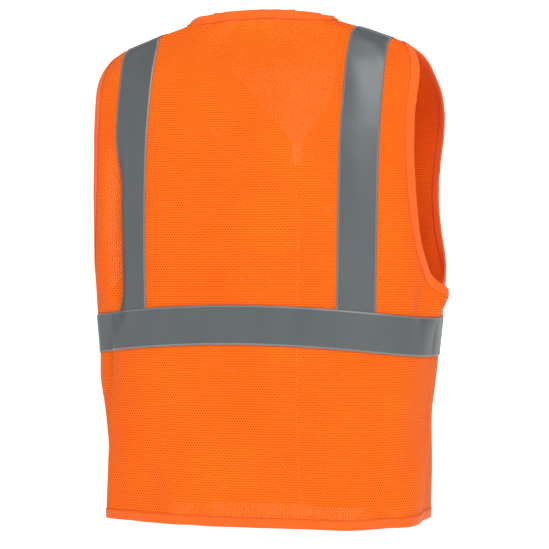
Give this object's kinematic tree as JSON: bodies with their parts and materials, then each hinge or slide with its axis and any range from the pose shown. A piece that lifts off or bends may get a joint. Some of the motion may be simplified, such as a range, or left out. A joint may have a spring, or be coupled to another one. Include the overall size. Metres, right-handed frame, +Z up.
{
  "type": "high visibility vest",
  "caption": "Sleeveless orange mesh safety vest, worn shape, with silver reflective waist band and shoulder tapes, bound edges, moulded front zip and patch pockets",
  "frame": {"origin": "on the hem plane, under the middle of the torso", "axes": "+Z up, +X the wearer's left, +Y the wearer's back; the zip is on the -Y side"},
  "size_m": [0.4588, 0.2661, 0.655],
  "materials": {
    "mesh": "knitted polyester mesh with small holes, fluorescent orange",
    "binding": "folded knitted strip, fluorescent orange",
    "reflective_tape": "silver grey glass-bead reflective tape",
    "pocket_cloth": "plain woven polyester, fluorescent orange",
    "label": "blank white woven label",
    "zip_tape": "woven polyester tape, orange",
    "zip_teeth": "moulded acetal, orange",
    "slider_metal": "die-cast zinc, painted orange"
  },
  "bodies": {
    "vest": {"back_panel": "mesh", "left_front_panel": "mesh", "right_front_panel": "mesh", "neck_binding": "binding", "left_armhole_binding": "binding", "right_armhole_binding": "binding", "hem_binding": "binding", "back_waist_tape": "reflective_tape", "left_front_waist_tape": "reflective_tape", "right_front_waist_tape": "reflective_tape", "left_back_shoulder_tape": "reflective_tape", "right_back_shoulder_tape": "reflective_tape", "left_front_shoulder_tape": "reflective_tape", "right_front_shoulder_tape": "reflective_tape", "chest_pocket": "pocket_cloth", "left_lower_pocket": "pocket_cloth", "right_lower_pocket": "pocket_cloth", "neck_label": "label", "left_zip_tape": "zip_tape", "right_zip_tape": "zip_tape", "left_zip_teeth": "zip_teeth", "right_zip_teeth": "zip_teeth", "zip_box": "zip_teeth", "zip_pin": "zip_teeth"},
    "slider": {"zip_slider": "slider_metal"},
    "pull": {"zip_pull": "slider_metal"}
  },
  "joints": [
    {"name": "zip_slide", "type": "slide", "parent": "vest", "child": "slider", "axis": [0, 0, -1], "range_m": [0, 0.44], "deforming": ["left_zip_teeth", "right_zip_teeth", "left_zip_tape", "right_zip_tape"]},
    {"name": "pull_hinge", "type": "hinge", "parent": "slider", "child": "pull", "pos_m": [0, -0.127, 0.4611], "axis": [-1, 0, 0], "range_deg": [0, 170]}
  ]
}
